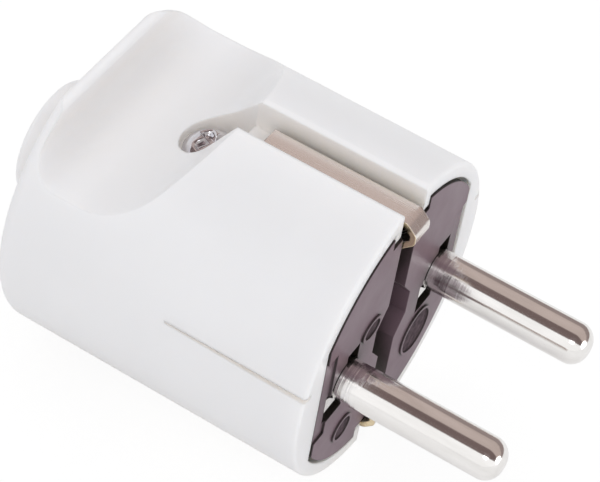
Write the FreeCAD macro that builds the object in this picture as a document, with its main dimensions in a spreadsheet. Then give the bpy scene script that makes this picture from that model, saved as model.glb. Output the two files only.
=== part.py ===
import FreeCAD, Part
import math
import os
import Sketcher

# Rewirable plug with two round pins and two earth contacts, in millimetres.
# X points out of the front face along the pins, Y runs along the line of the pins, Z is up.
# The origin is midway between the pins on the front face of the contact carrier.

sizes = [
    # housing
    ("body_dia", 37.5),
    ("body_back", 38.0),
    ("rim_back", 0.1),
    ("rim_round", 0.4),
    ("back_round", 1.5),
    ("collar_dia", 14.2),
    ("collar_long", 6.0),
    ("collar_round", 0.8),
    ("collar_root", 1.2),
    ("cord_dia", 9.0),
    ("rear_room_wide", 27.0),
    ("rear_room_high", 16.4),
    ("rear_room_round", 2.0),
    ("back_wall", 2.6),
    ("scoop_inset", 7.35),
    ("scoop_floor", 10.76),
    ("scoop_round", 9.8),
    ("scoop_slope", 54.5),
    ("scoop_flat", 2.75),
    ("scoop_heel", 3.2),
    ("lip_high", 16.4),
    ("lip_round", 0.6),
    ("slot_wide", 4.5),
    ("slot_floor", 15.0),
    ("cheek_thick", 1.2),
    ("cheek_low", 15.4),
    ("flat_across", 37.0),
    ("key_long", 17.2),
    ("key_high", 9.6),
    ("key_floor", 34.0),
    ("key_tail", 0.2),
    ("key_mouth", 0.6),
    ("screw_ahead", 6.8),
    ("well_wide", 7.2),
    ("well_run", 3.5),
    ("well_wall", 2.5),
    ("well_floor", 10.2),
    ("boss_dia", 9.5),
    ("boss_low", 6.8),
    # clearances
    ("shell_gap", 0.45),
    ("pin_gap", 0.2),
    ("terminal_gap", 0.2),
    ("screw_gap", 0.2),
    ("thread_gap", 0.05),
    ("nut_gap", 0.15),
    ("strip_gap", 0.2),
    ("cheek_gap", 0.2),
    ("tail_gap", 0.2),
    ("tower_gap", 0.8),
    ("clamp_room", 1.4),
    # pins
    ("pin_dia", 4.8),
    ("pin_long", 19.0),
    ("pin_pitch", 19.0),
    ("pin_tip", 2.0),
    ("pin_neck", 4.5),
    ("terminal_dia", 7.0),
    ("terminal_long", 9.5),
    ("wire_hole", 3.2),
    ("wire_deep", 7.0),
    ("clamp_back", 11.0),
    # earth bracket
    ("strip_wide", 2.9),
    ("strip_thick", 0.7),
    ("contact_high", 16.8),
    ("shoulder_round", 1.2),
    ("nose_out", 1.25),
    ("nose_round", 0.9),
    ("nose_flat", 0.5),
    ("nose_drop", 1.9),
    ("bridge_back", 6.2),
    ("bridge_wide", 6.6),
    ("bridge_flat", 3.0),
    ("bridge_high", 8.0),
    ("bend_round", 0.5),
    # contact carrier
    ("carrier_dia", 33.3),
    ("carrier_flat", 28.4),
    ("plate_thick", 5.0),
    ("notch_floor", 14.6),
    ("rebate_wide", 1.9),
    ("rebate_high", 13.0),
    ("rebate_deep", 0.25),
    ("window_out", 3.2),
    ("window_low", 4.6),
    ("window_near", 0.3),
    ("window_lap", 0.2),
    ("window_deep", 1.2),
    ("relief_out", 2.2),
    ("relief_high", 3.6),
    ("spine_wide", 11.0),
    ("spine_high", 22.4),
    ("spine_back", 8.4),
    ("hatch_wide", 6.8),
    ("tower_inner", 4.9),
    ("tower_outer", 13.8),
    ("tower_high", 10.4),
    ("rail_inner", 10.0),
    ("rail_outer", 12.8),
    ("rail_high", 8.0),
    ("beam_long", 6.8),
    ("beam_low", 1.6),
    ("beam_top", 6.2),
    # cord clamp
    ("clamp_long", 6.0),
    ("seat_lap", 0.3),
    ("clamp_low", 7.5),
    ("clamp_top", 2.0),
    ("clamp_pitch", 16.0),
    ("saddle_dia", 8.8),
    ("bar_wide", 5.0),
    ("bar_long", 22.0),
    ("bar_thick", 2.4),
    ("bar_arch", 1.2),
    # screws and nut
    ("screw_dia", 3.0),
    ("slot_cut", 0.8),
    ("slot_deep", 0.9),
    ("cover_head_dia", 6.4),
    ("cover_head_high", 2.2),
    ("cover_head_round", 1.9),
    ("cover_shank", 8.1),
    ("pin_head_dia", 5.0),
    ("pin_head_high", 1.5),
    ("pin_shank", 2.9),
    ("earth_head_dia", 5.4),
    ("earth_head_high", 1.9),
    ("earth_shank", 3.2),
    ("bar_head_dia", 5.4),
    ("bar_head_high", 1.9),
    ("bar_shank", 9.6),
    ("washer_wide", 6.2),
    ("washer_thick", 0.8),
    ("nut_wide", 5.5),
    ("nut_thick", 1.8),
    ("nut_low", 3.0),
]

doc = FreeCAD.newDocument("type_f_plug")
dim = doc.addObject("Spreadsheet::Sheet", "dim")
for row, (alias, value) in enumerate(sizes, start=1):
    dim.set("A%d" % row, alias)
    dim.set("B%d" % row, str(value))
    dim.setAlias("B%d" % row, alias)
probe = doc.addObject("Spreadsheet::Sheet", "probe")
doc.recompute()
up = FreeCAD.Vector(0, 0, 1)


def number(rule):
    """Value of a rule written with the names in the sheet."""
    probe.set("A1", "=" + rule)
    probe.recompute()
    return float(probe.get("A1"))


def new_body(label):
    body = doc.addObject("PartDesign::Body", label)
    body.Label = label
    return body


def plane(body, role):
    return [item for item in body.Origin.OriginFeatures if item.Role == role][0]


def sketch_on(body, role, name, offset=None):
    sketch = body.newObject("Sketcher::SketchObject", name)
    sketch.AttachmentSupport = [(plane(body, role), "")]
    sketch.MapMode = "FlatFace"
    if offset:
        sketch.setExpression("AttachmentOffset.Base.z", offset)
    return sketch


def bind(sketch, kind, where, rule):
    """Dimension of a sketch that follows a rule."""
    index = sketch.addConstraint(Sketcher.Constraint(kind, *where, number(rule)))
    label = "size%d" % index
    sketch.renameConstraint(index, label)
    sketch.setExpression("Constraints." + label, rule)


def fix(sketch, side, end, x, y):
    """Point of a sketch held at its two distances from the sketch's origin."""
    for kind, axis, rule in (("DistanceX", -2, x), ("DistanceY", -1, y)):
        if rule == "0":
            sketch.addConstraint(Sketcher.Constraint("PointOnObject", side, end, axis))
        else:
            bind(sketch, kind, (-1, 1, side, end), rule)


def outline(sketch, corners, arcs=None):
    """Closed outline; arcs gives the radius and the turn (1 is left) of the sides that are round."""
    arcs = arcs or {}
    spots = [FreeCAD.Vector(number(x), number(y), 0) for x, y in corners]
    ends = []
    for i, start in enumerate(spots):
        stop = spots[(i + 1) % len(spots)]
        if i not in arcs:
            side = sketch.addGeometry(Part.LineSegment(start, stop))
            ends.append((side, 1, 2))
            continue
        radius = number(arcs[i][0])
        turn = arcs[i][1]
        chord = stop - start
        rise = math.sqrt(max(radius ** 2 - (chord.Length / 2) ** 2, 0))
        normal = FreeCAD.Vector(-chord.y, chord.x, 0).normalize()
        centre = (start + stop) * 0.5 + normal * (rise * turn)
        first, last = (start, stop) if turn > 0 else (stop, start)
        low = math.atan2(first.y - centre.y, first.x - centre.x)
        high = math.atan2(last.y - centre.y, last.x - centre.x)
        if high < low:
            high += 2 * math.pi
        side = sketch.addGeometry(Part.ArcOfCircle(Part.Circle(centre, up, radius), low, high))
        ends.append((side, 1, 2) if turn > 0 else (side, 2, 1))
    for i, (side, start, stop) in enumerate(ends):
        after, entry = ends[(i + 1) % len(ends)][:2]
        sketch.addConstraint(Sketcher.Constraint("Coincident", side, stop, after, entry))
    for i, (side, start, stop) in enumerate(ends):
        fix(sketch, side, start, corners[i][0], corners[i][1])
        if i in arcs:
            bind(sketch, "Radius", (side,), arcs[i][0])


def oblong(sketch, left, right, low, high):
    outline(sketch, [(left, low), (right, low), (right, high), (left, high)])


def ring(sketch, x, y, dia):
    spot = FreeCAD.Vector(number(x), number(y), 0)
    side = sketch.addGeometry(Part.Circle(spot, up, number(dia) / 2))
    fix(sketch, side, 3, x, y)
    bind(sketch, "Diameter", (side,), dia)


def flatted(sketch, dia, flat):
    """Circle with two flats left and right."""
    half = "(%s) / 2" % flat
    rise = "sqrt(((%s) / 2) ^ 2 - ((%s) / 2) ^ 2)" % (dia, flat)
    corners = [(half, "-" + rise), (half, rise), ("-" + half, rise), ("-" + half, "-" + rise)]
    radius = "(%s) / 2" % dia
    outline(sketch, corners, {1: (radius, 1), 3: (radius, 1)})


def feature(body, kind, name, sketch, length=None, symmetric=False, turned=False):
    item = body.newObject("PartDesign::" + kind, name)
    item.Profile = sketch
    if length:
        item.setExpression("Length", length)
    else:
        item.Type = "ThroughAll"
    if symmetric:
        item.SideType = "Symmetric"
    item.Reversed = turned
    sketch.Visibility = False
    body.Tip = item
    return item


def pad(body, name, sketch, length, symmetric=False, turned=False):
    return feature(body, "Pad", name, sketch, length, symmetric, turned)


def pocket(body, name, sketch, length=None, symmetric=False, turned=False):
    return feature(body, "Pocket", name, sketch, length, symmetric, turned)


def revolve(body, name, sketch, axis):
    item = body.newObject("PartDesign::Revolution", name)
    item.Profile = sketch
    item.ReferenceAxis = (sketch, [axis])
    item.Angle = 360
    sketch.Visibility = False
    body.Tip = item
    return item


def mirror(body, name, items, role):
    item = body.newObject("PartDesign::Mirrored", name)
    item.Originals = items
    item.MirrorPlane = (plane(body, role), [""])
    body.Tip = item
    return item


def place(item, x="0", y="0", z="0", turn=None):
    if turn:
        item.Placement = FreeCAD.Placement(FreeCAD.Vector(), turn)
    for axis, rule in (("x", x), ("y", y), ("z", z)):
        item.setExpression("Placement.Base." + axis, rule)


# distances behind the front face that follow the length of the body
scoop_middle = "(dim.body_back - dim.scoop_inset)"
screw_back = "(dim.body_back - dim.scoop_inset - dim.screw_ahead)"
front_room = "(%s - dim.well_run - dim.well_wall)" % screw_back
tail_back = "(%s - dim.tail_gap)" % front_room
tower_back = "(%s - dim.tower_gap)" % front_room
clamp_end = "(dim.body_back - dim.back_wall - dim.clamp_room)"
clamp_front = "(%s - dim.clamp_long)" % clamp_end
clamp_middle = "-(%s - dim.clamp_long / 2)" % clamp_end

# housing: turned outside, then every hollow cut into it
housing = new_body("housing")
profile = sketch_on(housing, "XZ_Plane", "housing_profile")
tail = "-(dim.body_back + dim.collar_long)"
shell = "dim.body_dia / 2"
collar = "dim.collar_dia / 2"
outline(profile, [
    (tail, "0"),
    ("-dim.rim_back", "0"),
    ("-dim.rim_back", shell + " - dim.rim_round"),
    ("-dim.rim_back - dim.rim_round", shell),
    ("-dim.body_back + dim.back_round", shell),
    ("-dim.body_back", shell + " - dim.back_round"),
    ("-dim.body_back", collar + " + dim.collar_root"),
    ("-dim.body_back - dim.collar_root", collar),
    (tail + " + dim.collar_round", collar),
    (tail, collar + " - dim.collar_round"),
], {2: ("dim.rim_round", 1), 4: ("dim.back_round", 1), 6: ("dim.collar_root", -1), 8: ("dim.collar_round", 1)})
revolve(housing, "housing_turned", profile, "H_Axis")

land = sketch_on(housing, "XY_Plane", "land_outline", shell + " + 1")
oblong(land, "-dim.body_back - 1", "1", "-" + shell, shell)
upper = pocket(housing, "upper_land", land, shell + " + 1 - dim.flat_across / 2")
mirror(housing, "lower_land", [upper], "XY_Plane")

room = sketch_on(housing, "YZ_Plane", "front_room_outline")
flatted(room, "dim.carrier_dia + 2 * dim.shell_gap", "dim.carrier_flat + 2 * dim.shell_gap")
pocket(housing, "front_room", room, front_room)

room = sketch_on(housing, "YZ_Plane", "rear_room_outline", "1 - " + front_room)
wide = "dim.rear_room_wide / 2"
high = "dim.rear_room_high / 2"
soft = "dim.rear_room_round"
outline(room, [
    (wide, "-%s + %s" % (high, soft)),
    (wide, "%s - %s" % (high, soft)),
    ("%s - %s" % (wide, soft), high),
    ("-%s + %s" % (wide, soft), high),
    ("-" + wide, "%s - %s" % (high, soft)),
    ("-" + wide, "-%s + %s" % (high, soft)),
    ("-%s + %s" % (wide, soft), "-" + high),
    ("%s - %s" % (wide, soft), "-" + high),
], {1: (soft, 1), 3: (soft, 1), 5: (soft, 1), 7: (soft, 1)})
pocket(housing, "rear_room", room, "dim.body_back - dim.back_wall + 1 - " + front_room)

bore = sketch_on(housing, "YZ_Plane", "cord_bore_outline", "-1 - " + front_room)
ring(bore, "0", "0", "dim.cord_dia")
pocket(housing, "cord_bore", bore)

scoop = sketch_on(housing, "XZ_Plane", "scoop_profile")
heel = "-%s - dim.scoop_flat" % scoop_middle
wall = heel + " - dim.scoop_heel"
above = "(%s + 1)" % shell
ramp_low = "(dim.scoop_floor + dim.scoop_round * (1 - cos(dim.scoop_slope * 1 deg)))"
ramp_back = "(%s - dim.scoop_round * sin(dim.scoop_slope * 1 deg))" % scoop_middle
outline(scoop, [
    ("(%s - %s) / tan(dim.scoop_slope * 1 deg) - %s" % (above, ramp_low, ramp_back), above),
    ("-dim.body_back - 1", above),
    ("-dim.body_back - 1", "dim.lip_high - dim.lip_round"),
    ("-dim.body_back", "dim.lip_high - dim.lip_round"),
    ("-dim.body_back + dim.lip_round", "dim.lip_high"),
    (wall + " - dim.lip_round", "dim.lip_high"),
    (wall, "dim.lip_high - dim.lip_round"),
    (wall, "dim.scoop_floor + dim.scoop_heel"),
    (heel, "dim.scoop_floor"),
    ("-" + scoop_middle, "dim.scoop_floor"),
    ("-" + ramp_back, ramp_low),
], {3: ("dim.lip_round", -1), 5: ("dim.lip_round", -1), 7: ("dim.scoop_heel", 1), 9: ("dim.scoop_round", 1)})
upper = pocket(housing, "upper_scoop", scoop, "dim.body_dia + 2", symmetric=True)
mirror(housing, "lower_scoop", [upper], "XY_Plane")

cheek = sketch_on(housing, "YZ_Plane", "cheek_outline", "-" + front_room)
outside = "(dim.slot_wide / 2 + dim.cheek_thick)"
oblong(cheek, "-" + outside, outside, "dim.cheek_low", "dim.carrier_dia / 2 + dim.shell_gap")
upper = pad(housing, "upper_cheeks", cheek, front_room + " - dim.rim_back")
mirror(housing, "lower_cheeks", [upper], "XY_Plane")
slot = sketch_on(housing, "XY_Plane", "earth_slot_outline", shell + " + 1")
oblong(slot, "-" + screw_back, "1", "-dim.slot_wide / 2", "dim.slot_wide / 2")
upper = pocket(housing, "upper_earth_slot", slot, shell + " + 1 - dim.slot_floor")
mirror(housing, "lower_earth_slot", [upper], "XY_Plane")

key = sketch_on(housing, "XZ_Plane", "side_key_outline", shell + " + 1")
outline(key, [
    ("-dim.key_long", "dim.key_high / 2"),
    ("-dim.key_long", "dim.key_high / 2 - dim.key_tail"),
    ("1", "dim.key_high / 2 - dim.key_mouth"),
    ("1", "dim.key_high / 2"),
])
left = pocket(housing, "left_key", key, shell + " + 1 - dim.key_floor / 2")
mirror(housing, "right_key", [left], "XZ_Plane")

boss = sketch_on(housing, "XY_Plane", "screw_boss_outline", "dim.boss_low")
ring(boss, "-" + screw_back, "0", "dim.boss_dia")
pad(housing, "screw_boss", boss, "dim.rear_room_high / 2 - dim.boss_low + 0.5")
well = sketch_on(housing, "XY_Plane", "screw_well_outline", shell + " + 1")
mouth = "dim.well_run - " + screw_back
flank = "dim.well_wide / 4 - " + screw_back
broad = "dim.well_wide / 4 * sqrt(3)"
outline(well, [
    (mouth, "-dim.slot_wide / 2"),
    (mouth, "dim.slot_wide / 2"),
    (flank, broad),
    ("-%s - dim.well_wide / 2" % screw_back, "0"),
    (flank, "-" + broad),
], {2: ("dim.well_wide / 2", 1), 3: ("dim.well_wide / 2", 1)})
pocket(housing, "screw_well", well, shell + " + 1 - dim.well_floor")
hole = sketch_on(housing, "XY_Plane", "screw_hole_outline", "dim.well_floor + 1")
ring(hole, "-" + screw_back, "0", "dim.screw_dia + 2 * dim.screw_gap")
pocket(housing, "screw_hole", hole, "dim.well_floor + 2 - dim.boss_low")

# contact carrier: front plate, terminal towers, screw beam and cord saddle in one moulding
carrier = new_body("contact_carrier")
face = sketch_on(carrier, "YZ_Plane", "plate_outline", "-dim.plate_thick")
flatted(face, "dim.carrier_dia", "dim.carrier_flat")
pad(carrier, "front_plate", face, "dim.plate_thick")
spine = sketch_on(carrier, "YZ_Plane", "spine_outline", "-dim.spine_back")
oblong(spine, "-dim.spine_wide / 2", "dim.spine_wide / 2", "-dim.spine_high / 2", "dim.spine_high / 2")
pad(carrier, "spine", spine, "dim.spine_back - dim.plate_thick + 1")
tower = sketch_on(carrier, "YZ_Plane", "tower_outline", "-" + tower_back)
oblong(tower, "dim.tower_inner", "dim.tower_outer", "-dim.tower_high / 2", "dim.tower_high / 2")
oblong(tower, "-dim.tower_outer", "-dim.tower_inner", "-dim.tower_high / 2", "dim.tower_high / 2")
pad(carrier, "terminal_towers", tower, tower_back + " - dim.plate_thick + 1")
rail = sketch_on(carrier, "YZ_Plane", "rail_outline", "-%s - dim.seat_lap" % clamp_front)
oblong(rail, "dim.rail_inner", "dim.rail_outer", "-dim.rail_high / 2", "dim.rail_high / 2")
oblong(rail, "-dim.rail_outer", "-dim.rail_inner", "-dim.rail_high / 2", "dim.rail_high / 2")
pad(carrier, "rails", rail, "%s + dim.seat_lap - %s + 1" % (clamp_front, tower_back))
beam = sketch_on(carrier, "YZ_Plane", "beam_outline", "-%s - dim.beam_long / 2" % screw_back)
oblong(beam, "-dim.rail_outer", "dim.rail_outer", "dim.beam_low", "dim.beam_top")
pad(carrier, "screw_beam", beam, "dim.beam_long")
seat = sketch_on(carrier, "YZ_Plane", "cord_seat_outline", "-" + clamp_end)
oblong(seat, "-dim.rail_outer", "dim.rail_outer", "-dim.clamp_low", "dim.clamp_top")
pad(carrier, "cord_seat", seat, "dim.clamp_long")

saddle = sketch_on(carrier, "YZ_Plane", "saddle_outline", "0.5 - " + clamp_front)
outline(saddle, [
    ("dim.saddle_dia / 2", "0"),
    ("dim.saddle_dia / 2", "dim.clamp_top + 1"),
    ("-dim.saddle_dia / 2", "dim.clamp_top + 1"),
    ("-dim.saddle_dia / 2", "0"),
    ("0", "-dim.saddle_dia / 2"),
], {3: ("dim.saddle_dia / 2", 1), 4: ("dim.saddle_dia / 2", 1)})
pocket(carrier, "saddle", saddle, "dim.clamp_long + 1")
notch = sketch_on(carrier, "YZ_Plane", "contact_notch_outline")
beside = "(%s + dim.cheek_gap)" % outside
oblong(notch, "-" + beside, beside, "dim.notch_floor", "dim.carrier_dia / 2 + 1")
upper = pocket(carrier, "upper_contact_notch", notch, "dim.plate_thick + 1")
mirror(carrier, "lower_contact_notch", [upper], "XY_Plane")
channel = sketch_on(carrier, "YZ_Plane", "bridge_channel_outline")
narrow = "(dim.strip_wide / 2 + dim.strip_gap)"
broad = "(dim.bridge_wide / 2 + dim.strip_gap)"
flat = "(dim.bridge_flat / 2 + dim.strip_gap)"
middle = "(dim.bridge_high / 2 + dim.strip_gap)"
reach = "(dim.notch_floor + 1)"
outline(channel, [
    (narrow, "-" + reach),
    (narrow, "-" + middle),
    (broad, "-" + flat),
    (broad, flat),
    (narrow, middle),
    (narrow, reach),
    ("-" + narrow, reach),
    ("-" + narrow, middle),
    ("-" + broad, flat),
    ("-" + broad, "-" + flat),
    ("-" + narrow, "-" + middle),
    ("-" + narrow, "-" + reach),
])
pocket(carrier, "bridge_channel", channel, "dim.bridge_back")
hatch = sketch_on(carrier, "YZ_Plane", "earth_hatch_outline", "-dim.bridge_back + 0.5")
oblong(hatch, "-dim.hatch_wide / 2", "dim.hatch_wide / 2", "-dim.hatch_wide / 2", "dim.hatch_wide / 2")
pocket(carrier, "earth_hatch", hatch, "dim.spine_back - dim.bridge_back + 1")
rebate = sketch_on(carrier, "YZ_Plane", "rebate_outline")
side = "dim.carrier_flat / 2"
oblong(rebate, side + " - dim.rebate_wide", side + " + 1", "-dim.rebate_high / 2", "dim.rebate_high / 2")
right = pocket(carrier, "right_rebate", rebate, "dim.rebate_deep")
mirror(carrier, "left_rebate", [right], "XZ_Plane")

passage = sketch_on(carrier, "YZ_Plane", "pin_passage_outline")
ring(passage, "dim.pin_pitch / 2", "0", "dim.pin_dia + 2 * dim.pin_gap")
ring(passage, "-dim.pin_pitch / 2", "0", "dim.pin_dia + 2 * dim.pin_gap")
pocket(carrier, "pin_passages", passage, "dim.plate_thick + 1")
chamber = sketch_on(carrier, "YZ_Plane", "terminal_chamber_outline", "-dim.plate_thick")
ring(chamber, "dim.pin_pitch / 2", "0", "dim.terminal_dia + 2 * dim.terminal_gap")
ring(chamber, "-dim.pin_pitch / 2", "0", "dim.terminal_dia + 2 * dim.terminal_gap")
pocket(carrier, "terminal_chambers", chamber, tower_back + " - dim.plate_thick + 1")
access = sketch_on(carrier, "XY_Plane", "terminal_access_outline", "dim.tower_high / 2 + 1")
ring(access, "-dim.clamp_back", "dim.pin_pitch / 2", "dim.pin_head_dia + 2 * dim.screw_gap")
ring(access, "-dim.clamp_back", "-dim.pin_pitch / 2", "dim.pin_head_dia + 2 * dim.screw_gap")
pocket(carrier, "terminal_access", access, "dim.tower_high / 2 + 1")
window = sketch_on(carrier, "YZ_Plane", "pin_window_outline")
relief = sketch_on(carrier, "YZ_Plane", "pin_relief_outline")
for axis in ("dim.pin_pitch / 2", "-dim.pin_pitch / 2"):
    oblong(window, axis + " - dim.window_out", axis + " + dim.window_lap", "-dim.window_low", "-dim.window_near")
    oblong(relief, axis + " - dim.window_lap", axis + " + dim.relief_out", "dim.window_near", "dim.relief_high")
pocket(carrier, "pin_windows", window, "dim.window_deep")
pocket(carrier, "pin_reliefs", relief, "dim.window_deep")
nut_slot = sketch_on(carrier, "YZ_Plane", "nut_slot_outline",
                     "dim.nut_wide / 2 + dim.nut_gap - " + screw_back)
oblong(nut_slot, "-dim.nut_wide / 2 - dim.nut_gap", "dim.nut_wide / 2 + dim.nut_gap",
       "dim.nut_low - dim.nut_gap", "dim.nut_low + dim.nut_thick + dim.nut_gap")
pocket(carrier, "nut_slot", nut_slot, "dim.beam_long / 2 + dim.nut_wide / 2 + 1")
drill = sketch_on(carrier, "XY_Plane", "beam_hole_outline", "dim.beam_top + 1")
ring(drill, "-" + screw_back, "0", "dim.screw_dia + 2 * dim.screw_gap")
pocket(carrier, "beam_hole", drill, "dim.beam_top - dim.beam_low + 2")
pilot = sketch_on(carrier, "XY_Plane", "clamp_pilot_outline", "dim.clamp_top + 1")
ring(pilot, clamp_middle, "dim.clamp_pitch / 2", "dim.screw_dia + 2 * dim.thread_gap")
ring(pilot, clamp_middle, "-dim.clamp_pitch / 2", "dim.screw_dia + 2 * dim.thread_gap")
pocket(carrier, "clamp_pilots", pilot, "dim.bar_shank - dim.bar_thick + 1.5")


def make_pin(label, side):
    """Turned pin with a rounded tip, a neck inside the plate and a bored terminal."""
    body = new_body(label)
    turned = sketch_on(body, "XZ_Plane", label + "_profile")
    thick = "dim.pin_dia / 2"
    block = "dim.terminal_dia / 2"
    end = "-dim.plate_thick - dim.terminal_long"
    outline(turned, [
        (end, "0"),
        ("dim.pin_long", "0"),
        ("dim.pin_long", thick + " - dim.pin_tip"),
        ("dim.pin_long - dim.pin_tip", thick),
        ("0", thick),
        ("0", "dim.pin_neck / 2"),
        ("-dim.plate_thick", "dim.pin_neck / 2"),
        ("-dim.plate_thick", block),
        (end, block),
    ], {2: ("dim.pin_tip", 1)})
    revolve(body, label + "_turned", turned, "H_Axis")
    wire = sketch_on(body, "YZ_Plane", label + "_wire_outline", end)
    ring(wire, "0", "0", "dim.wire_hole")
    pocket(body, label + "_wire_hole", wire, "dim.wire_deep", turned=True)
    tap = sketch_on(body, "XY_Plane", label + "_tap_outline", block + " + 1")
    ring(tap, "-dim.clamp_back", "0", "dim.screw_dia + 2 * dim.thread_gap")
    pocket(body, label + "_tapped_hole", tap, block + " + 1")
    place(body, y="%sdim.pin_pitch / 2" % side)
    return body


live_pin = make_pin("live_pin", "")
neutral_pin = make_pin("neutral_pin", "-")

# earth bracket: one strip folded into both contacts, with a tapped bridge between them
bracket = new_body("earth_bracket")
strip = sketch_on(bracket, "XZ_Plane", "strip_profile")
top = "dim.contact_high"
under = "(dim.contact_high - dim.strip_thick)"
tip_x = "(dim.nose_out - dim.nose_round)"
tip_high = "(dim.contact_high - dim.nose_drop + dim.nose_flat / 2)"
tip_low = "(dim.contact_high - dim.nose_drop - dim.nose_flat / 2)"
bow = "(dim.shoulder_round - dim.strip_thick)"
bow_x = ("(%s + %s + dim.nose_round * sqrt(2) - %s - dim.shoulder_round * (sqrt(2) - 1))"
         % (tip_x, tip_high, top))
bow_z = "(dim.contact_high - dim.shoulder_round)"
cave = "(dim.nose_round - dim.strip_thick)"
rear = "-dim.bridge_back"
front = "(dim.strip_thick - dim.bridge_back)"
heel_x = "(%s + dim.bend_round)" % front
heel_z = ("(%s - %s + %s - dim.nose_round * sqrt(2) - dim.bend_round * (sqrt(2) - 1))"
          % (front, tip_x, tip_low))
heel_out = "(dim.bend_round + dim.strip_thick)"
tail = "-" + tail_back


def slant(x, z, radius, across, along):
    """Point of a bend that lies on one of its diagonals."""
    return ("%s %s %s * sqrt(0.5)" % (x, across, radius), "%s %s %s * sqrt(0.5)" % (z, along, radius))


outer = [
    (tail, top),
    (bow_x, top),
    slant(bow_x, bow_z, "dim.shoulder_round", "+", "+"),
    slant(tip_x, tip_high, "dim.nose_round", "+", "+"),
    ("dim.nose_out", tip_high),
    ("dim.nose_out", tip_low),
    slant(tip_x, tip_low, "dim.nose_round", "+", "-"),
    slant(heel_x, heel_z, "dim.bend_round", "-", "+"),
    (front, heel_z),
]
inner = [
    (tail, under),
    (bow_x, under),
    slant(bow_x, bow_z, bow, "+", "+"),
    slant(tip_x, tip_high, cave, "+", "+"),
    ("(dim.nose_out - dim.strip_thick)", tip_high),
    ("(dim.nose_out - dim.strip_thick)", tip_low),
    slant(tip_x, tip_low, cave, "+", "-"),
    slant(heel_x, heel_z, heel_out, "-", "+"),
    (rear, heel_z),
]
below_outer = [(x, "-(%s)" % z) for x, z in outer]
below_inner = [(x, "-(%s)" % z) for x, z in inner]
outline(strip, outer + below_outer[::-1] + below_inner + inner[::-1], {
    1: ("dim.shoulder_round", -1), 3: ("dim.nose_round", -1), 5: ("dim.nose_round", -1),
    7: ("dim.bend_round", 1), 9: ("dim.bend_round", 1), 11: ("dim.nose_round", -1),
    13: ("dim.nose_round", -1), 15: ("dim.shoulder_round", -1), 19: (bow, 1), 21: (cave, 1),
    23: (cave, 1), 25: (heel_out, -1), 27: (heel_out, -1), 29: (cave, 1), 31: (cave, 1), 33: (bow, 1),
})
pad(bracket, "strip", strip, "dim.strip_wide", symmetric=True)
bridge = sketch_on(bracket, "YZ_Plane", "bridge_outline", rear)
waist = "dim.strip_wide / 2"
broad = "dim.bridge_wide / 2"
flat = "dim.bridge_flat / 2"
high = "dim.bridge_high / 2"
outline(bridge, [
    (broad, "-" + flat), (broad, flat), (waist, high), ("-" + waist, high),
    ("-" + broad, flat), ("-" + broad, "-" + flat), ("-" + waist, "-" + high), (waist, "-" + high),
])
pad(bracket, "bridge", bridge, "dim.strip_thick")
tap = sketch_on(bracket, "YZ_Plane", "bridge_tap_outline")
ring(tap, "0", "0", "dim.screw_dia + 2 * dim.thread_gap")
pocket(bracket, "bridge_tapped_hole", tap, "dim.bridge_back + 1")


def make_screw(label, head_dia, head_high, shank, edge=None):
    """Slotted screw along Z, with the underside of its head at zero."""
    body = new_body(label)
    turned = sketch_on(body, "XZ_Plane", label + "_profile")
    thick = "dim.screw_dia / 2"
    wide = "%s / 2" % head_dia
    edge = edge or "0.12 * %s" % head_dia
    outline(turned, [
        ("0", "-" + shank),
        (thick + " - 0.4", "-" + shank),
        (thick, "-%s + 0.4" % shank),
        (thick, "0"),
        (wide, "0"),
        (wide, "%s - %s" % (head_high, edge)),
        ("%s - %s" % (wide, edge), head_high),
        ("0", head_high),
    ], {5: (edge, 1)})
    revolve(body, label + "_turned", turned, "V_Axis")
    slit = sketch_on(body, "XY_Plane", label + "_slot_outline", head_high)
    oblong(slit, "-%s" % head_dia, head_dia, "-dim.slot_cut / 2", "dim.slot_cut / 2")
    pocket(body, label + "_slot", slit, "dim.slot_deep")
    return body


def group(label, items):
    """Like pieces kept as one item of separate solids."""
    pack = doc.addObject("Part::Compound", label)
    pack.Label = label
    pack.Links = items
    return pack


cover_screw = make_screw("housing_screw", "dim.cover_head_dia", "dim.cover_head_high", "dim.cover_shank",
                         "dim.cover_head_round")
place(cover_screw, x="-" + screw_back, z="dim.well_floor")

pin_screws = []
for label, side in (("live_terminal_screw", ""), ("neutral_terminal_screw", "-")):
    item = make_screw(label, "dim.pin_head_dia", "dim.pin_head_high", "dim.pin_shank")
    place(item, x="-dim.clamp_back", y="%sdim.pin_pitch / 2" % side, z="dim.terminal_dia / 2 + dim.thread_gap")
    pin_screws.append(item)
pin_terminal_screws = group("pin_terminal_screws", pin_screws)

rearward = FreeCAD.Rotation(FreeCAD.Vector(0, 1, 0), -90)
earth_screw = make_screw("earth_terminal_screw", "dim.earth_head_dia", "dim.earth_head_high",
                         "(dim.earth_shank + dim.washer_thick)")
place(earth_screw, x="-dim.bridge_back - dim.washer_thick", turn=rearward)

washer = new_body("earth_clamp_washer")
blank = sketch_on(washer, "YZ_Plane", "washer_outline", "-dim.bridge_back - dim.washer_thick")
oblong(blank, "-dim.washer_wide / 2", "dim.washer_wide / 2", "-dim.washer_wide / 2", "dim.washer_wide / 2")
ring(blank, "0", "0", "dim.screw_dia + 2 * dim.screw_gap")
pad(washer, "washer_blank", blank, "dim.washer_thick")

nut = new_body("housing_screw_nut")
blank = sketch_on(nut, "XY_Plane", "nut_outline", "dim.nut_low")
oblong(blank, "-%s - dim.nut_wide / 2" % screw_back, "dim.nut_wide / 2 - " + screw_back,
       "-dim.nut_wide / 2", "dim.nut_wide / 2")
ring(blank, "-" + screw_back, "0", "dim.screw_dia + 2 * dim.thread_gap")
pad(nut, "nut_blank", blank, "dim.nut_thick")

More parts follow.
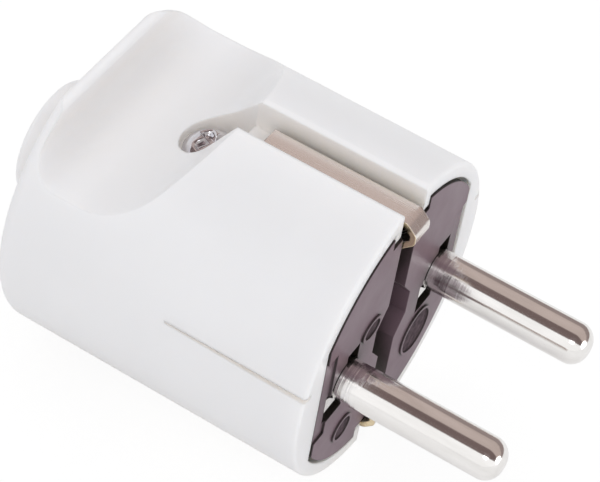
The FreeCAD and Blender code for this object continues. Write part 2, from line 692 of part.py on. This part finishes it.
# cord clamp: arched bar on the two posts of the saddle
bar = new_body("cord_clamp_bar")
arch = sketch_on(bar, "YZ_Plane", "bar_profile", clamp_middle + " - dim.bar_wide / 2")
ends = "dim.bar_long / 2"
span = "dim.saddle_dia / 2"
crown = "((dim.saddle_dia / 2) ^ 2 + dim.bar_arch ^ 2) / (2 * dim.bar_arch)"
outline(arch, [
    (ends, "dim.clamp_top"),
    (ends, "dim.clamp_top + dim.bar_thick"),
    ("-" + ends, "dim.clamp_top + dim.bar_thick"),
    ("-" + ends, "dim.clamp_top"),
    ("-" + span, "dim.clamp_top"),
    (span, "dim.clamp_top"),
], {4: (crown, -1)})
pad(bar, "bar", arch, "dim.bar_wide")
hole = sketch_on(bar, "XY_Plane", "bar_hole_outline", "dim.clamp_top + dim.bar_thick + 1")
ring(hole, clamp_middle, "dim.clamp_pitch / 2", "dim.screw_dia + 2 * dim.screw_gap")
ring(hole, clamp_middle, "-dim.clamp_pitch / 2", "dim.screw_dia + 2 * dim.screw_gap")
pocket(bar, "bar_holes", hole, "dim.bar_thick + 2")

bar_screws = []
for label, side in (("left_clamp_screw", ""), ("right_clamp_screw", "-")):
    item = make_screw(label, "dim.bar_head_dia", "dim.bar_head_high", "dim.bar_shank")
    place(item, x=clamp_middle, y="%sdim.clamp_pitch / 2" % side, z="dim.clamp_top + dim.bar_thick")
    bar_screws.append(item)
cord_clamp_screws = group("cord_clamp_screws", bar_screws)

doc.recompute()

nodes = [housing, carrier, live_pin, neutral_pin, bracket, cover_screw, nut, pin_terminal_screws,
         earth_screw, washer, bar, cord_clamp_screws]
for item in doc.Objects:
    if "Invalid" in item.State or "Error" in item.State:
        raise RuntimeError("%s did not build: %s" % (item.Label, item.State))
os.makedirs("parts", exist_ok=True)
for item in nodes:
    if item.Shape.isNull() or not item.Shape.isValid():
        raise RuntimeError("%s has no valid shape" % item.Label)
    item.Shape.exportStep("parts/%s.step" % item.Label)
    print("%-22s %9.1f mm3, %d solid(s)" % (item.Label, item.Shape.Volume, len(item.Shape.Solids)))
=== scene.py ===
import math
import bpy
from mathutils import Matrix, Vector


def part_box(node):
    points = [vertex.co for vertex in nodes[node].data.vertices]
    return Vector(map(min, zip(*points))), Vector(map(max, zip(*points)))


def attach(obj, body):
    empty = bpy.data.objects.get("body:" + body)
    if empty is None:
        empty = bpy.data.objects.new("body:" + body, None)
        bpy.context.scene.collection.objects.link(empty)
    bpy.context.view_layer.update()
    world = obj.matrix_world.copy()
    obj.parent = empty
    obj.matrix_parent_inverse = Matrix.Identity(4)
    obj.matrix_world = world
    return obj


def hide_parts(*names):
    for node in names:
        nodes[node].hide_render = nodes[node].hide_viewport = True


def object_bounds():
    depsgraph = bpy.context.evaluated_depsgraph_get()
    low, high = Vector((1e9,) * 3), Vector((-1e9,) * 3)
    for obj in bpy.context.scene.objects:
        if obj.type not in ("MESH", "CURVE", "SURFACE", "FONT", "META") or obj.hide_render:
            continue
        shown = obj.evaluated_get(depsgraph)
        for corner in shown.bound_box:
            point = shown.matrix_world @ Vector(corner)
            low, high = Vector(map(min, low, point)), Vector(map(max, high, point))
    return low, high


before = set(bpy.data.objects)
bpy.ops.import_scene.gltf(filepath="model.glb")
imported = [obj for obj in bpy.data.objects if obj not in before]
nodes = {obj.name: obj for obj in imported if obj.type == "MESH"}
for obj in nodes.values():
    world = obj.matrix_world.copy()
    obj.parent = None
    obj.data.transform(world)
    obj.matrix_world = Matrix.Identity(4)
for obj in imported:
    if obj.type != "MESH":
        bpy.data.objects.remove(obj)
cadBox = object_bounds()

scene = bpy.context.scene
mm = 0.001
shadeRays = 6        # for soft edges and hollows
print("frame loaded:", len(nodes), "CAD nodes")


# small helpers for the materials

def emptyTree(owner):
    owner.use_nodes = True
    owner.node_tree.nodes.clear()
    return owner.node_tree


def newMaterial(name):
    mat = bpy.data.materials.new(name)
    tree = emptyTree(mat)
    out = tree.nodes.new("ShaderNodeOutputMaterial")
    shader = tree.nodes.new("ShaderNodeBsdfPrincipled")
    tree.links.new(shader.outputs["BSDF"], out.inputs["Surface"])
    return mat, tree, shader


def feed(tree, socket, value):
    if isinstance(value, bpy.types.NodeSocket):
        tree.links.new(value, socket)
    elif isinstance(value, tuple):
        socket.default_value = (*value, 1)      # a colour
    else:
        socket.default_value = value


def dress(tree, shader, sockets):
    for name, value in sockets.items():
        feed(tree, shader.inputs[name], value)


def objectCoords(tree, stretch=(1, 1, 1)):
    coords = tree.nodes.new("ShaderNodeTexCoord")
    mapping = tree.nodes.new("ShaderNodeMapping")
    mapping.inputs["Scale"].default_value = stretch
    tree.links.new(coords.outputs["Object"], mapping.inputs["Vector"])
    return mapping.outputs["Vector"]


def noise(tree, vector, scale=1.0, detail=3.0):
    node = tree.nodes.new("ShaderNodeTexNoise")
    dress(tree, node, {"Vector": vector, "Scale": scale, "Detail": detail})
    return node.outputs["Fac"]


def spread(tree, value, low, high, start=0.3, stop=0.7):
    node = tree.nodes.new("ShaderNodeMapRange")
    dress(tree, node, {"Value": value, "From Min": start, "From Max": stop, "To Min": low, "To Max": high})
    return node.outputs["Result"]


def maths(tree, operation, *values):
    node = tree.nodes.new("ShaderNodeMath")
    node.operation = operation
    for socket, value in zip(node.inputs, values):
        feed(tree, socket, value)
    return node.outputs["Value"]


def axisOf(tree, vector, axis):
    node = tree.nodes.new("ShaderNodeSeparateXYZ")
    tree.links.new(vector, node.inputs["Vector"])
    return node.outputs[axis]


def twoColours(tree, factor, first, second):
    node = tree.nodes.new("ShaderNodeMix")
    node.data_type = "RGBA"
    dress(tree, node, {"Factor": factor, "A": first, "B": second})
    return node.outputs["Result"]


def clouded(tree, cloud, look):
    return twoColours(tree, spread(tree, cloud, 0, 1), look["shade"], look["light"])


def bump(tree, height, strength, distance, normal=None):
    node = tree.nodes.new("ShaderNodeBump")
    dress(tree, node, {"Height": height, "Strength": strength, "Distance": distance})
    if normal:
        tree.links.new(normal, node.inputs["Normal"])
    return node.outputs["Normal"]


def softEdge(tree, radius):
    node = tree.nodes.new("ShaderNodeBevel")
    node.samples = shadeRays
    node.inputs["Radius"].default_value = radius
    return node.outputs["Normal"]


# paints a colour into hollows by ambient occlusion: painted shade in the scoops and the insert's channel,
# painted light in the slots and the screw well
def paintLightShadeInHollows(tree, colour, paintedHollowLightShade, reach, shut, bare):
    hollow = tree.nodes.new("ShaderNodeAmbientOcclusion")
    hollow.samples = shadeRays
    hollow.inputs["Distance"].default_value = reach
    return twoColours(tree, spread(tree, hollow.outputs["AO"], 0, 1, shut, bare), paintedHollowLightShade, colour)


def paint(mat, *names):
    for name in names:
        materials = nodes[name].data.materials
        materials.clear()
        materials.append(mat)


# moulded plastics
whiteShell = {
    "light": (0.852, 0.849, 0.868),
    "shade": (0.832, 0.829, 0.847),
    "scoop": (0.800, 0.772, 0.752),   # painted warm shade, darker where the moulding is shut in by itself
    "scoopRange": (0.5, 0.87),        # from shut in to open
    "paintedHollowLightShade": (0.99, 0.945, 0.905),     # painted light: the slots and the screw well made brighter than the plastic
    "paintedHollowLightShadeRange": (0.2, 0.6),
    "reach": 12 * mm,
    "cloud": 90.0,          # size of the slow colour change, per metre
    "patch": 700.0,         # and of the change in gloss
    "rough": (0.30, 0.40),
    "grain": 4200.0,        # spark-eroded mould skin
    "grainBump": 0.12,
    "grainDepth": 0.01 * mm,
    "edge": 0.35 * mm,
    "ior": 1.5,
    "milky": 0.5,           # share of light that goes into the plastic
    "milkyDepth": 1.5 * mm,
    "milkyTint": (1, 0.95, 0.9),
}


def shellPlastic():
    look = whiteShell
    mat, tree, shader = newMaterial("white_moulded_plastic")
    where = objectCoords(tree)
    colour = clouded(tree, noise(tree, where, look["cloud"], detail=4), look)
    # painted warm shade in the scoops and other hollows
    colour = paintLightShadeInHollows(tree, colour, look["scoop"], look["reach"], *look["scoopRange"])
    # painted light, brightening the slots and the screw well
    colour = paintLightShadeInHollows(tree, colour, look["paintedHollowLightShade"], look["reach"], *look["paintedHollowLightShadeRange"])
    skin = noise(tree, where, look["grain"], detail=2)
    dress(tree, shader, {
        "Base Color": colour,
        "Roughness": spread(tree, noise(tree, where, look["patch"]), *look["rough"]),
        "Normal": bump(tree, skin, look["grainBump"], look["grainDepth"], softEdge(tree, look["edge"])),
        "IOR": look["ior"],
        "Subsurface Weight": look["milky"],
        "Subsurface Scale": look["milkyDepth"],
    })
    shader.inputs["Subsurface Radius"].default_value = look["milkyTint"]
    return mat


darkInsert = {
    "light": (0.177, 0.114, 0.144),
    "shade": (0.161, 0.103, 0.130),
    "paintedHollowLightShade": (0.014, 0.011, 0.008),    # painted shade in the channel and the windows
    "paintedHollowLightShadeRange": (0.45, 0.92),
    "reach": 5 * mm,
    "cloud": 130.0,
    "patch": 240.0,
    "rough": (0.36, 0.46),
    "gloss": 0.5,
    "grain": 3600.0,
    "grainBump": 0.07,
    "grainDepth": 0.01 * mm,
    "edge": 0.15 * mm,
    "ior": 1.46,
}
erodedGround = {             # the field inside the plain rims
    **darkInsert,
    "light": (0.120, 0.082, 0.098),
    "shade": (0.045, 0.032, 0.038),
    "cloud": 1500.0,
    "rough": (0.75, 0.9),
    "gloss": 0.15,
}


def insertPlastic(name, look):
    mat, tree, shader = newMaterial(name)
    where = objectCoords(tree)
    colour = clouded(tree, noise(tree, where, look["cloud"], detail=4), look)
    skin = noise(tree, where, look["grain"])
    dress(tree, shader, {
        # painted shade darkening the channel and the windows
        "Base Color": paintLightShadeInHollows(tree, colour, look["paintedHollowLightShade"], look["reach"], *look["paintedHollowLightShadeRange"]),
        "Roughness": spread(tree, noise(tree, where, look["patch"]), *look["rough"]),
        "Normal": bump(tree, skin, look["grainBump"], look["grainDepth"], softEdge(tree, look["edge"])),
        "IOR": look["ior"],
        "Specular IOR Level": look["gloss"],
    })
    return mat


# plated metals
pinNickel = {
    "light": (0.95, 0.93, 0.915),
    "shade": (0.85, 0.83, 0.81),
    "worn": (180, 900, 900),
    "drawn": (40, 5200, 5200),   # fine lines along the pin
    "drawnRough": (0.08, 0.15),
    "drawnBump": 0.10,
    "drawnDepth": 0.004 * mm,
    "turned": (3200, 60, 60),    # tool marks round the root
    "turnedBump": 0.75,
    "turnedDepth": 0.04 * mm,
    "rootLong": 6 * mm,
    "rootRough": 0.07,
    "edge": 0.12 * mm,
}


def pinMetal():
    look = pinNickel
    mat, tree, shader = newMaterial("nickel_plated_pin")
    lines = noise(tree, objectCoords(tree, look["drawn"]))
    worn = noise(tree, objectCoords(tree, look["worn"]), detail=4)
    turned = noise(tree, objectCoords(tree, look["turned"]))
    nearRoot = spread(tree, axisOf(tree, objectCoords(tree), "X"), 1, 0, 0, look["rootLong"])
    rings = maths(tree, "MULTIPLY", nearRoot, turned)
    rough = spread(tree, lines, *look["drawnRough"])
    skin = bump(tree, lines, look["drawnBump"], look["drawnDepth"], softEdge(tree, look["edge"]))
    dress(tree, shader, {
        "Base Color": clouded(tree, worn, look),
        "Metallic": 1,
        "Roughness": maths(tree, "MULTIPLY_ADD", nearRoot, look["rootRough"], rough),
        "Normal": bump(tree, rings, look["turnedBump"], look["turnedDepth"], skin),
    })
    return mat


contactStrip = {
    "plate": (0.85, 0.80, 0.77),
    "cut": (0.90, 0.76, 0.52),    # bare metal on the sheared edges
    "cutRange": (0.6, 0.9),       # how far a face turns to the side
    "rolled": (90, 4000, 90),
    "rolledBump": 0.008,
    "rolledDepth": 0.004 * mm,
    "rough": (0.25, 0.28),
    "edge": 0.18 * mm,
}


def stripMetal():
    look = contactStrip
    mat, tree, shader = newMaterial("plated_strip_with_bare_edges")
    coords = tree.nodes.new("ShaderNodeTexCoord")
    side = maths(tree, "ABSOLUTE", axisOf(tree, coords.outputs["Normal"], "Y"))
    rolled = noise(tree, objectCoords(tree, look["rolled"]))
    bareEdge = spread(tree, side, 0, 1, *look["cutRange"])
    soft = softEdge(tree, look["edge"])
    dress(tree, shader, {
        "Base Color": twoColours(tree, bareEdge, look["plate"], look["cut"]),
        "Metallic": 1,
        "Roughness": spread(tree, rolled, *look["rough"]),
        "Normal": bump(tree, rolled, look["rolledBump"], look["rolledDepth"], soft),
    })
    return mat


zincScrew = {
    "light": (0.83, 0.83, 0.86),
    "shade": (0.66, 0.65, 0.69),
    "cloud": 900.0,
    "cloudBump": 0.02,
    "cloudDepth": 0.01 * mm,
    "patch": 1200.0,
    "rough": (0.08, 0.14),
}


def screwMetal():
    look = zincScrew
    mat, tree, shader = newMaterial("zinc_plated_screw")
    where = objectCoords(tree)
    cloud = noise(tree, where, look["cloud"], detail=4)
    dress(tree, shader, {
        "Base Color": clouded(tree, cloud, look),
        "Metallic": 1,
        "Roughness": spread(tree, noise(tree, where, look["patch"], detail=2), *look["rough"]),
        "Normal": bump(tree, cloud, look["cloudBump"], look["cloudDepth"]),
    })
    return mat


insertMat = insertPlastic("dark_moulded_plastic", darkInsert)
pinMat = pinMetal()
screwMat = screwMetal()
paint(shellPlastic(), "housing")
paint(insertMat, "contact_carrier", "cord_clamp_bar")
paint(pinMat, "live_pin", "neutral_pin")
paint(stripMetal(), "earth_bracket")
paint(screwMat, "housing_screw", "housing_screw_nut", "pin_terminal_screws")
paint(screwMat, "earth_terminal_screw", "earth_clamp_washer", "cord_clamp_screws")
print("materials on the CAD nodes")


# small helpers for the meshes

def addPiece(name, points, faces, *mats):
    mesh = bpy.data.meshes.new(name)
    mesh.from_pydata(points, [], faces)
    for mat in mats:
        mesh.materials.append(mat)
    piece = bpy.data.objects.new(name, mesh)
    scene.collection.objects.link(piece)
    return piece


def middle(low, high, axis):
    return (low[axis] + high[axis]) / 2


def turnedFaces(rows, count):
    # rings of points between a first and a last point on the axis
    faces = [(0, 1 + i, 1 + (i + 1) % count) for i in range(count)]
    for row in range(rows - 1):
        a = 1 + row * count
        b = a + count
        faces += [(a + i, b + i, b + (i + 1) % count, a + (i + 1) % count) for i in range(count)]
    last = 1 + (rows - 1) * count
    faces += [(last + i, last + count, last + (i + 1) % count) for i in range(count)]
    return faces


# plated tabs that hold the pins, seen in the windows of the insert
pinTab = {
    "front": -0.25 * mm,
    "thick": 1.1 * mm,      # down to the floor of the window
    "corners": (            # from the pin's axis, in mm
        (-3.3, -2.95),
        (-0.6, -2.9),
        (-1.3, -2.25),
        (-2.3, -1.2),
        (-3.3, -0.7),
    ),
    "edge": 0.06 * mm,
    "edgeSteps": 2,
}


def flatPlate(name, outline, front, thick, mat):
    count = len(outline)
    points = [(x, y, z) for x in (front, front - thick) for y, z in outline]
    faces = [tuple(range(count)), tuple(reversed(range(count, 2 * count)))]
    faces += [(i, i + count, (i + 1) % count + count, (i + 1) % count) for i in range(count)]
    return addPiece(name, points, faces, mat)


for node in ("live_pin", "neutral_pin"):
    low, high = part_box(node)
    y, z = middle(low, high, 1), middle(low, high, 2)
    outline = [(y + dy * mm, z + dz * mm) for dy, dz in pinTab["corners"]]
    tab = flatPlate(node + "_tab", outline, pinTab["front"], pinTab["thick"], pinMat)
    soft = tab.modifiers.new("soft_edges", "BEVEL")
    soft.width = pinTab["edge"]
    soft.segments = pinTab["edgeSteps"]
    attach(tab, "root")
print("pin tabs in the windows")


# plain raised rims moulded on the insert's face
plainRim = {
    "rise": 0.22 * mm,
    "ground": 0.05 * mm,     # the eroded field inside the rim
    "sunk": 0.1 * mm,
    "band": 0.32 * mm,
    "around": 56,
    "places": {              # centre and half sizes in mm
        "far_rim": (7.3, -8.3, 3.1, 3.1),
        "near_rim": (-7.9, -10.0, 1.9, 1.7),
        "side_rim": (-5.2, 3.9, 1.9, 1.45),
    },
}
erodedMat = insertPlastic("eroded_dark_plastic", erodedGround)


def raisedRim(name, y, z, wide, high):
    inner = 1 - plainRim["band"] / min(wide, high)
    rise, ground, sunk = plainRim["rise"], plainRim["ground"], plainRim["sunk"]
    rows = [(inner, ground), (inner, rise), (1, rise), (1, -sunk)]
    count = plainRim["around"]
    points = [(ground, y, z)]
    for share, height in rows:
        for i in range(count):
            angle = 2 * math.pi * i / count
            points.append((height, y + share * wide * math.cos(angle), z + share * high * math.sin(angle)))
    points.append((-sunk, y, z))
    rim = addPiece(name, points, turnedFaces(len(rows), count), insertMat, erodedMat)
    for face in rim.data.polygons[:count]:
        face.material_index = 1      # the eroded field
    return rim


for name, place in plainRim["places"].items():
    rim = raisedRim(name, *[value * mm for value in place])
    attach(rim, "root")
print("plain rims on the insert")


# domed head of the housing screw, with a cross recess
domeScrew = {
    "crown": 1.7 * mm,      # how far the dome stands above its rim
    "armLong": 1.8 * mm,
    "armWide": 1.0 * mm,
    "armDeep": 0.9 * mm,
    "slope": 0.7 * mm,      # width of the recess's sloping sides
    "turn": 35,             # degrees
    "shank": 1.5 * mm,
    "shankTop": 2.2 * mm,   # below the crown
    "sharpFrom": 75,        # degrees between faces
    "rings": 30,
    "around": 96,
}


def ramp(value, width):
    t = min(max(value / width + 0.5, 0), 1)
    return t * t * (3 - 2 * t)


def domeHeight(across, angle, reach):
    ball = (reach ** 2 + domeScrew["crown"] ** 2) / (2 * domeScrew["crown"])
    angle += math.radians(domeScrew["turn"])
    u, v = abs(across * math.cos(angle)), abs(across * math.sin(angle))
    inArm = ramp(domeScrew["armWide"] / 2 - min(u, v), domeScrew["slope"])
    inArm *= ramp(domeScrew["armLong"] - max(u, v), domeScrew["slope"])
    return math.sqrt(ball ** 2 - across ** 2) - ball - domeScrew["armDeep"] * inArm


def crossScrew(name, node, mat):
    low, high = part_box(node)
    x, y, top = middle(low, high, 0), middle(low, high, 1), high[2]
    reach = (high[0] - low[0]) / 2
    shank, shankTop = domeScrew["shank"], domeScrew["shankTop"]
    rows = [(reach * (i + 1) / domeScrew["rings"], None) for i in range(domeScrew["rings"])]
    rows += [(reach, -shankTop), (shank, -shankTop), (shank, low[2] - top)]
    count = domeScrew["around"]
    points = [(x, y, top + domeHeight(0, 0, reach))]
    for across, drop in rows:
        for i in range(count):
            angle = 2 * math.pi * i / count
            height = domeHeight(across, angle, reach) if drop is None else drop
            points.append((x + across * math.cos(angle), y + across * math.sin(angle), top + height))
    points.append((x, y, low[2]))
    screw = addPiece(name, points, turnedFaces(len(rows), count), mat)
    screw.data.shade_smooth()
    screw.data.set_sharp_from_angle(angle=math.radians(domeScrew["sharpFrom"]))
    return screw


coverScrew = crossScrew("cover_screw", "housing_screw", screwMat)
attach(coverScrew, "root")
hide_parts("housing_screw")
print("cross-head cover screw in its well")


# floor, room cards, light and camera
studio = {
    "floorSize": 3.0,
    "floorTone": (0.88, 0.88, 0.88),
    "sky": 0.785,
    "skySeen": 1.0,
    "glow": 1.04,
    "shadow": 0.14,           # share of the lit floor in what the camera sees
    "glossShadow": 0.85,      # and in what shiny pieces see
    "roomWide": 2.4,
    "roomRadius": 0.5,
    "cardSteps": 12,
    "cards": {                # brownish room, seen only in the gloss: tone, and degrees up from +Y
        "back_wall": ((0.296, 0.240, 0.228), 0, 32),
        "pale_ceiling": ((0.503, 0.415, 0.383), 32, 88),
        "dark_ceiling": ((0.165, 0.120, 0.115), 88, 127.5),
    },
    "lamps": {                # place, target, size and watts
        "key_lamp": ((-0.15, 0.3, 0.5), (-0.012, 0, 0), 0.35, 0.32),
        "front_lamp": ((0.5, 0.05, 0.08), (0, 0, 0), 0.3, 0.34),
        "fill_lamp": ((0.12, -0.33, 0.42), (-0.01, 0, 0), 0.25, 0.5),
    },
}


def seenDirectly(tree):
    path = tree.nodes.new("ShaderNodeLightPath")
    first = maths(tree, "MAXIMUM", path.outputs["Is Camera Ray"], path.outputs["Is Glossy Ray"])
    return maths(tree, "MAXIMUM", first, path.outputs["Is Transmission Ray"])


def floorMaterial():
    mat = bpy.data.materials.new("white_table")
    tree = emptyTree(mat)
    out = tree.nodes.new("ShaderNodeOutputMaterial")
    lit = tree.nodes.new("ShaderNodeBsdfDiffuse")
    feed(tree, lit.inputs["Color"], studio["floorTone"])
    glow = tree.nodes.new("ShaderNodeEmission")
    feed(tree, glow.inputs["Strength"], studio["glow"])
    path = tree.nodes.new("ShaderNodeLightPath")
    plain, glossy = 1 - studio["shadow"], 1 - studio["glossShadow"]
    share = spread(tree, path.outputs["Is Glossy Ray"], plain, glossy, 0, 1)
    mix = tree.nodes.new("ShaderNodeMixShader")
    tree.links.new(maths(tree, "MULTIPLY", seenDirectly(tree), share), mix.inputs["Fac"])
    tree.links.new(lit.outputs["BSDF"], mix.inputs[1])
    tree.links.new(glow.outputs["Emission"], mix.inputs[2])
    tree.links.new(mix.outputs["Shader"], out.inputs["Surface"])
    return mat


half = studio["floorSize"] / 2
floorCorners = [(-half, -half, 0), (half, -half, 0), (half, half, 0), (-half, half, 0)]
floor = addPiece("floor", floorCorners, [(0, 1, 2, 3)], floorMaterial())
floor.location = (0, 0, cadBox[0][2])


def cardMaterial(name, tone):
    mat = bpy.data.materials.new(name)
    tree = emptyTree(mat)
    out = tree.nodes.new("ShaderNodeOutputMaterial")
    glow = tree.nodes.new("ShaderNodeEmission")
    feed(tree, glow.inputs["Color"], tone)
    tree.links.new(glow.outputs["Emission"], out.inputs["Surface"])
    return mat


def roomCard(name, tone, start, stop):
    steps, side = studio["cardSteps"], studio["roomWide"] / 2
    corners = []
    for i in range(steps + 1):
        angle = math.radians(start + (stop - start) * i / steps)
        y = studio["roomRadius"] * math.cos(angle)
        z = studio["roomRadius"] * math.sin(angle)
        corners += [(-side, y, z), (side, y, z)]
    faces = [(2 * i, 2 * i + 1, 2 * i + 3, 2 * i + 2) for i in range(steps)]
    card = addPiece(name, corners, faces, cardMaterial(name, tone))
    card.visible_camera = False
    card.visible_diffuse = False
    card.visible_shadow = False
    card.visible_transmission = False


for name, card in studio["cards"].items():
    roomCard(name, *card)

world = bpy.data.worlds.new("plain_studio")
scene.world = world
sky = emptyTree(world)
skyOut = sky.nodes.new("ShaderNodeOutputWorld")
skyGlow = sky.nodes.new("ShaderNodeBackground")
feed(sky, skyGlow.inputs["Color"], (1, 1, 1))
feed(sky, skyGlow.inputs["Strength"], spread(sky, seenDirectly(sky), studio["sky"], studio["skySeen"], 0, 1))
sky.links.new(skyGlow.outputs["Background"], skyOut.inputs["Surface"])


def softLamp(name, place, target, size, watts):
    data = bpy.data.lights.new(name, "AREA")
    data.shape = "DISK"
    data.size = size
    data.energy = watts
    lamp = bpy.data.objects.new(name, data)
    scene.collection.objects.link(lamp)
    lamp.location = place
    lamp.rotation_euler = (Vector(target) - Vector(place)).to_track_quat("-Z", "Y").to_euler()


for name, lamp in studio["lamps"].items():
    softLamp(name, *lamp)

photoCamera = {
    "place": (63.66 * mm, -166.33 * mm, 205.84 * mm),
    "right": (0.8434, 0.5246, 0.1163),
    "up": (-0.4596, 0.592, 0.662),
    "lens": 154.39,
    "sensor": 36,
    "nearest": 10 * mm,
}
cameraData = bpy.data.cameras.new("camera")
cameraData.sensor_fit = "HORIZONTAL"
cameraData.sensor_width = photoCamera["sensor"]
cameraData.lens = photoCamera["lens"]
cameraData.clip_start = photoCamera["nearest"]
camera = bpy.data.objects.new("camera", cameraData)
scene.collection.objects.link(camera)
right = Vector(photoCamera["right"]).normalized()
up = Vector(photoCamera["up"])
up = (up - right * up.dot(right)).normalized()
facing = Matrix((right, up, right.cross(up))).transposed().to_4x4()
camera.matrix_world = Matrix.Translation(photoCamera["place"]) @ facing
scene.camera = camera
scene.view_settings.view_transform = "Standard"
print("studio and camera set")
